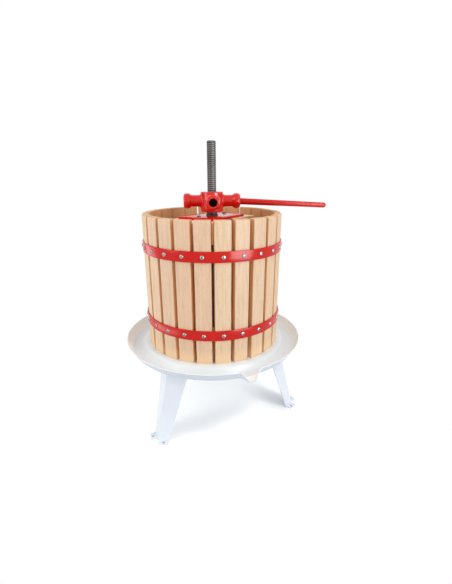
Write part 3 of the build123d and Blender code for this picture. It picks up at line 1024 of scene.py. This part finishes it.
    def build(self) -> None:
        """Build the tray as one sheet with its thickness and rounded edge."""
        upper = np.array(self.meridians())
        along = np.gradient(upper, axis=1)
        around = np.roll(upper, -1, 0) - np.roll(upper, 1, 0)
        normal = np.cross(along, around)
        normal /= np.linalg.norm(normal, axis=2, keepdims=True)
        normal *= np.sign(normal[..., 2:3])
        lower = upper - normal * self.sheet
        out = along[:, -1] / np.linalg.norm(along[:, -1], axis=1, keepdims=True)
        middle = (upper[:, -1] + lower[:, -1]) / 2
        rows = list(upper.swapaxes(0, 1))
        for quarter in (3, 2, 1, 0, -1, -2, -3):
            a = quarter * math.pi / 8
            way = normal[:, -1] * math.sin(a) + out * math.cos(a)
            rows.append(middle + way * self.sheet / 2)
        rows += [*lower.swapaxes(0, 1)[::-1], upper[:, 0]]
        form = np.concatenate(rows), grid_faces(len(rows), len(upper))
        place = Body.FRAME, Slot.WHITE, ["tray"]
        add_piece("pressed_tray", form, self.paint, *place, self.crease)


@dataclass
class Legs:
    """Three folded legs with their studs and nuts under the tray."""

    paint: Material
    zinc: Material

    def build(self) -> None:
        """Dress the legs and their fasteners."""
        for node in ("leg_back", "leg_left", "leg_right"):
            dress_node(node, self.paint)
        for node in ("leg_studs", "leg_nuts"):
            dress_node(node, self.zinc)


# Spindle


@dataclass
class Spindle:
    """Screw spindle with its thread, nuts and disc."""

    steel: Material
    zinc: Material
    radius: float = 10.0 * MM
    root_r: float = 9.1 * MM
    pitch: float = 4.25 * MM
    bottom: float = 163.5 * MM
    top: float = 637.2 * MM
    end_r: float = 8.4 * MM
    steps: int = 40
    crease: float = 60.0
    nut_width: float = 28.0 * MM
    nut_bore_r: float = 10.08 * MM
    nuts: tuple[tuple[str, float, float], ...] = (
        ("upper", 189.0 * MM, 9.0 * MM),
        ("lower", 168.5 * MM, 15.0 * MM),
    )

    # Share of the pitch, height from root to crest, and painted shade of each strip of the thread
    profile: ClassVar[list[Triple]] = [
        (0.0, 0.12, 0.35), (0.07, 0.85, 0.0), (0.11, 1.0, 0.0), (0.50, 1.0, 0.0),
        (0.54, 0.85, 0.35), (0.61, 0.12, 0.7), (0.66, 0.0, 0.7), (0.94, 0.0, 0.7),
    ]

    def build(self) -> None:
        """Build thread and nuts, and dress the disc."""
        self.thread()
        for name, z, height in self.nuts:
            node = f"spindle_{name}_nut"
            form = hex_nut(self.nut_width, self.nut_bore_r, z, height)
            add_piece(f"{node}_hex", form, self.zinc, Body.FRAME, Slot.ZINC, [node])
        dress_node("spindle_disc", self.zinc)

    def thread(self) -> None:
        """Build a right-hand trapezoidal thread along the whole rod, and close its ends."""
        turns = int((self.top - self.bottom) / self.pitch) + 3
        points = []
        for turn in range(turns):
            for part, lift, _ in self.profile:
                crest = self.root_r + (self.radius - self.root_r) * lift
                for step in range(self.steps + 1):
                    share = step / self.steps
                    z = self.bottom + (turn - 1 + part + share - 1) * self.pitch
                    z = min(max(z, self.bottom), self.top)
                    r = min(crest, self.end_r + min(z - self.bottom, self.top - z))
                    points.append(polar(r, math.tau * step / self.steps, z))
        faces = grid_faces(turns * len(self.profile), self.steps + 1, wrap=False)
        # Painted shade in the thread's grooves, carried by the recess mark
        groove_shade = [strip_shade for _, _, strip_shade in self.profile]
        marks = {"recess": [groove_shade[n // self.steps % len(groove_shade)] for n in range(len(faces))]}
        place = Body.FRAME, Slot.SPINDLE, ["spindle"]
        made = add_piece("spindle_thread", (points, faces), self.steel, *place, self.crease, marks)
        work = bmesh.new()
        work.from_mesh(made.data)
        rims = [e for e in work.edges if e.is_boundary]
        bmesh.ops.holes_fill(work, edges=rims, sides=0)
        bmesh.ops.recalc_face_normals(work, faces=work.faces)
        work.to_mesh(made.data)
        work.free()
        made.data.set_sharp_from_angle(angle=math.radians(self.crease))


# Press head, hub, bar and boards


@dataclass
class PressHead:
    """Press plate, beams, screws and swivel collar."""

    paint: Material
    wood: Material
    zinc: Material
    dark: Material
    plate_z: float = 481.8 * MM
    plate_width: float = 89.0 * MM
    plate_length: float = 132.0 * MM
    plate_sheet: float = 5.5 * MM
    plate_corner_r: float = 3.0 * MM
    plate_angle: float = -58.0
    plate_hole_r: float = 12.8 * MM
    plate_parts: int = 10
    whole_side: float = 20.0 * MM
    edge_r: float = 0.7 * MM
    screw_out: float = 48.0 * MM
    screw_seed: int = 31
    beam_seed: int = 77
    screw: CrossScrew = CrossScrew(9.5 * MM, 3.2 * MM, 5.0 * MM, 34.0 * MM)

    def build(self) -> None:
        """Build the plate and its screws, and dress the rest."""
        turn = Matrix.Rotation(math.radians(self.plate_angle), 4, "Z")
        self.plate(turn)
        self.screws(turn)
        seed = random.Random(self.beam_seed)
        for node in ("press_beam_front", "press_beam_back"):
            made = dress_node(node, self.wood)
            low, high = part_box(node)
            own = Matrix.Translation((low + high) / 2) @ turn
            set_grain(made, own @ Matrix.Rotation(-math.pi / 2, 4, "Y"), seed, one_face=True)
        for node in ("swivel_collar", "plate_retaining_ring"):
            dress_node(node, self.dark)

    def plate(self, turn: Matrix) -> None:
        """Build the plate with eased edges.

        Args:
            turn: Turn of the plate about the spindle.
        """
        outline = rounded_box(self.plate_width, self.plate_length, self.plate_corner_r, 6)
        loop = divided(outline, self.plate_parts, self.whole_side)
        high, low, e = self.plate_z, self.plate_z - self.plate_sheet, self.edge_r
        rings = [(e, low), (0.3 * e, low + 0.3 * e), (0.0, low + e), (0.0, high - e)]
        rings += [(0.3 * e, high - 0.3 * e), (e, high), (0.2 * self.plate_width, high)]
        rows = []
        for inset, z in rings:
            across, along = 1 - 2 * inset / self.plate_width, 1 - 2 * inset / self.plate_length
            rows.append([Vector((x * across, y * along, z)) for x, y in loop])
        bore = [Vector((x, y, 0)).normalized() * self.plate_hole_r for x, y in loop]
        under, over = ([p + Vector((0, 0, z)) for p in bore] for z in (low, high))
        rows = [under, *rows, over, under]
        form = [turn @ p for row in rows for p in row], grid_faces(len(rows), len(loop))
        add_piece("press_plate_sheet", form, self.paint, Body.HEAD, Slot.RED, ["press_plate"])

    def screws(self, turn: Matrix) -> None:
        """Build the two screws through the plate.

        Args:
            turn: Turn of the plate about the spindle.
        """
        seed = random.Random(self.screw_seed)
        places = []
        for side in (-1, 1):
            own = Matrix.Translation((0, side * self.screw_out, self.plate_z))
            places.append(turn @ own @ Matrix.Rotation(seed.uniform(0, 3), 4, "Z"))
        form, marks = self.screw.at(places)
        place = Body.HEAD, Slot.ZINC, ["plate_screws"]
        add_piece("plate_pan_screws", form, self.zinc, *place, marks=marks)


@dataclass
class Hub:
    """Cast four-armed hub with its ring, and the turning bar."""

    iron: Material
    paint: Material
    dark: Material
    socket_dark: Material
    arm_z: float = 513.2 * MM
    arm_angle: float = -18.8
    socket_r: float = 8.7 * MM
    bore_r: float = 10.18 * MM

    def build(self) -> None:
        """Dress hub, ring and bar, with near-black iron in the hub's bore and sockets."""
        made = dress_node("hub", self.iron)
        made.data.materials.append(self.socket_dark)
        turn = Matrix.Rotation(math.radians(-self.arm_angle), 3, "Z")
        for face in made.data.polygons:
            x, y, z = turn @ face.center
            beside = min(math.hypot(y, z - self.arm_z), math.hypot(x, z - self.arm_z))
            if beside < self.socket_r or math.hypot(x, y) < self.bore_r:
                face.material_index = 1
        dress_node("hub_retaining_ring", self.dark)
        dress_node("handle_bar", self.paint)


@dataclass
class PressBoards:
    """Two half-round boards on the tray floor."""

    wood: Material
    seed: int = 12

    def build(self) -> None:
        """Dress both boards, their grain along X."""
        seed = random.Random(self.seed)
        for side in ("front", "back"):
            made = dress_node(f"press_board_{side}", self.wood)
            set_grain(made, Matrix.Rotation(math.pi / 2, 4, "Y"), seed)


# Studio


class LampUse(Enum):
    """What a lamp of the studio does."""

    BOTH = "both"
    LIGHT = "light"
    SHINE = "shine"


def set_up(made: Object, at: Triple, look: Vector) -> None:
    """Put a lamp or camera in its place, facing along a vector."""
    made.location, made.rotation_euler = at, look.to_track_quat("-Z", "Y").to_euler()
    bpy.context.scene.collection.objects.link(made)


@dataclass(frozen=True)
class Lamp:
    """Softbox or reflector card that faces the spindle at some height."""

    name: str
    at: Triple
    aim_z: float
    size: tuple[float, float]
    power: float
    use: LampUse = LampUse.BOTH

    def hang(self) -> None:
        """Add the lamp, which lights the press, is mirrored in its paint, or both."""
        light = bpy.data.lights.new(self.name, "AREA")
        light.shape = "RECTANGLE"
        light.size, light.size_y = self.size
        light.energy = self.power
        made = bpy.data.objects.new(self.name, light)
        made.visible_diffuse = self.use is not LampUse.SHINE
        made.visible_glossy = self.use is not LampUse.LIGHT
        set_up(made, self.at, Vector((0, 0, self.aim_z)) - Vector(self.at))


@dataclass(frozen=True)
class WhiteFloor(Finish):
    """White floor that keeps the shadow near the press, with painted shadow in two strips and
    painted shade in six holes.
    """

    name: str = "white_floor"
    half: float = 6.0
    paper: Colour = (0.8, 0.8, 0.8)
    lift: float = 0.43
    white_span: Span = (0.24, 0.4)
    right_way: tuple[float, float] = (0.904, 0.427)
    right_at: tuple[float, float] = (0.101, 0.177)
    right_half: float = 0.06
    right_start: Span = (-0.02, 0.01)
    right_end: Span = (0.19, 0.02)
    right_share: float = 0.64
    left_slope: float = 0.11
    left_at: float = 0.0905
    left_half: float = 0.085
    left_end: Span = (0.18, -0.06)
    left_share: float = 0.2
    hole_r: float = 203.94 * MM
    hole_angle: float = math.radians(4.847)
    hole_edge: Span = (3.6 * MM, 2.4 * MM)
    hole_share: float = 0.85
    hole_shade: Colour = (0.12, 0.125, 0.13)

    def shader(self, sheet: NodeSheet) -> Sock:
        """Draw the floor.

        Args:
            sheet: Sheet of the floor.

        Returns:
            Its shader.
        """
        x, y, _ = sheet.split(sheet.place())
        out = (x * x + y * y) ** 0.5

        # Painted shadow in strips beside the right and the left leg, where the lift is held back
        u, v = self.right_way
        across, along = x * u + y * v - self.right_at[0], y * u - x * v + self.right_at[1]
        right = across.size().between(self.right_half, 0.0) * along.between(*self.right_end)
        right = right * along.between(*self.right_start)
        left = (y - x * self.left_slope + self.left_at).size().between(self.left_half, 0.0)
        left = left * x.between(*self.left_end)

        # Painted shade in the six holes of the feet
        aside = (y.angle(x) - math.pi / 2).folded(math.pi / 3)
        across = (aside - self.hole_angle) * self.hole_r
        away = (across * across + (out - self.hole_r) * (out - self.hole_r)) ** 0.5
        hole = away.between(*self.hole_edge) * self.hole_share

        paper = sheet.node("BsdfDiffuse", None, {"Color": self.paper})
        glows = ((WHITE, self.lift), (WHITE, 1.0), (self.hole_shade, 1.0))
        lift, white, shade = (
            sheet.node("Emission", None, {"Color": colour, "Strength": strength})
            for colour, strength in glows
        )
        shown = sheet.node("AddShader", None, {0: paper, 1: lift})
        shown = sheet.blend(right * self.right_share + left * self.left_share, shown, paper)
        shown = sheet.blend(out.between(*self.white_span), shown, white)
        return sheet.blend(sheet.seen(), paper, sheet.blend(hole, shown, shade))

    def lay(self) -> None:
        """Add the floor."""
        mesh = bpy.data.meshes.new("studio_floor")
        h = self.half
        mesh.from_pydata([(-h, -h, 0), (h, -h, 0), (h, h, 0), (-h, h, 0)], [], [(0, 1, 2, 3)])
        made = bpy.data.objects.new("studio_floor", mesh)
        bpy.context.scene.collection.objects.link(made)
        mesh.materials.append(self.material())


@dataclass
class Studio:
    """White floor, soft lamps, plain world and the photograph's camera."""

    lamps: tuple[Lamp, ...] = (
        Lamp("right_softbox", (0.55, -1.15, 1.95), 0.3, (0.34, 0.34), 9.5),
        Lamp("left_softbox", (-1.6, -0.2, 1.6), 0.3, (0.7, 0.7), 6.5),
        Lamp("right_fill", (0.70, -1.44, 0.62), 0.4, (0.5, 0.9), 4.1, LampUse.LIGHT),
        Lamp("left_fill", (-1.59, -0.2, 0.62), 0.4, (0.5, 0.9), 3.7, LampUse.LIGHT),
        Lamp("right_card", (0.455, -1.110, 0.445), 0.445, (0.67, 0.85), 20.0, LampUse.SHINE),
        Lamp("left_card", (-1.196, -0.098, 0.70), 0.70, (0.5, 0.60), 3.6, LampUse.SHINE),
        Lamp("back_card", (-0.878, 0.818, 0.17), 0.17, (0.55, 0.34), 1.1, LampUse.SHINE),
        Lamp("low_card", (-0.54, 0.06, 0.06), 0.06, (0.45, 0.12), 0.45, LampUse.SHINE),
    )
    camera_at: Triple = (-0.2936, -0.7620, 0.57167)
    camera_azimuth: float = 66.72
    camera_pitch: float = -18.54
    focal_px: float = 354.19
    frame_height: float = 584.0
    sensor: float = 36.0
    near: float = 0.01
    room: Colour = (0.95, 0.975, 1.0)
    room_light: float = 0.74

    def build(self) -> None:
        """Set up floor, light and camera."""
        WhiteFloor().lay()
        self.world()
        for lamp in self.lamps:
            lamp.hang()
        self.camera()
        bpy.context.scene.view_settings.view_transform = "Standard"

    def world(self) -> None:
        """Light the room evenly and show it white."""
        world = bpy.data.worlds.new("studio_room")
        bpy.context.scene.world = world
        sheet = NodeSheet(world)
        room, white = (
            sheet.node("Background", None, {"Color": colour, "Strength": strength})
            for colour, strength in ((self.room, self.room_light), (WHITE, 1.0))
        )
        sheet.close(sheet.blend(sheet.seen(), room, white), "OutputWorld")

    def camera(self) -> None:
        """Stand the camera where the photograph was taken."""
        data = bpy.data.cameras.new("photo_camera")
        data.sensor_width = self.sensor
        data.lens = self.focal_px * self.sensor / self.frame_height
        data.clip_start = self.near
        made = bpy.data.objects.new("photo_camera", data)
        pitch = math.radians(self.camera_pitch)
        look = polar(math.cos(pitch), math.radians(self.camera_azimuth), math.sin(pitch))
        set_up(made, self.camera_at, look)
        bpy.context.scene.camera = made


def main() -> None:
    """Build every sub-assembly and the studio."""
    logging.basicConfig(level=logging.INFO, format="%(name)s %(message)s")
    red = Paint("red_paint", (0.60, 0.0075, 0.003), (0.54, 0.006, 0.002), 0.19, 0.24).material()
    gloss = Lacquer(
        "lacquered_red_paint", (0.68, 0.009, 0.004), (0.62, 0.007, 0.003), 0.12, 0.06
    ).material()
    iron = Paint(
        "red_paint_on_iron", (0.70, 0.011, 0.005), (0.60, 0.008, 0.003), 0.1, 0.42, cast=0.07 * MM
    ).material()
    hard = {"level": 0.35, "peel": 0.006 * MM, "dust_share": 0.02}
    # White enamel of the legs; its bluish tint is painted light for the cool light on them
    white = Paint(
        "white_enamel", (0.81, 0.84, 0.90), (0.80, 0.83, 0.89), 0.25, **hard
    ).material()
    # Painted light on the tray's inner wall and painted shade on its underside
    painted_light_and_shade = {"rim": (0.95, 0.97, 0.95), "underside_shade": (0.66, 0.71, 0.775)}
    enamel = Paint(
        "tray_enamel", (0.785, 0.82, 0.83), (0.775, 0.81, 0.82), 0.36, **hard, **painted_light_and_shade
    ).material()
    wood = Beech().material()
    # Paler beech for the beams: painted light for their faces that lie in shade inside the basket
    beam_beech = Beech(
        "beam_beech_painted_light",
        pale=(0.93, 0.73, 0.50),
        pink=(0.91, 0.70, 0.47),
        straw=(0.94, 0.75, 0.50),
        late=(0.80, 0.55, 0.34),
        end=(0.74, 0.37, 0.15),
    ).material()
    zinc = Steel("zinc_plate", (0.37, 0.37, 0.37), (0.20, 0.20, 0.21), 0.31).material()
    # The plate's screws: dark steel whose reddish tint is a painted reflection of the red plate and
    # hub
    plate_screw_steel = Steel("plate_screw_steel_red_tint", (0.17, 0.125, 0.125), (0.08, 0.055, 0.055), 0.3).material()
    dark = Steel("blackened_steel", (0.09, 0.09, 0.095), (0.04, 0.038, 0.036), 0.42).material()
    # Near-black iron for the hub's bore and sockets
    socket_dark = Steel("dark_socket_iron", (0.03, 0.028, 0.027), (0.012, 0.011, 0.01), 0.6, 0.4).material()
    rod = Steel("oiled_spindle_steel", (0.168, 0.158, 0.152), (0.075, 0.07, 0.066), 0.58).material()
    Basket(wood, red, zinc).build()
    Tray(enamel).build()
    Legs(white, zinc).build()
    Spindle(rod, zinc).build()
    PressHead(gloss, beam_beech, plate_screw_steel, dark).build()
    Hub(iron, red, dark, socket_dark).build()
    PressBoards(wood).build()
    Studio().build()


if __name__ == "__main__":
    main()
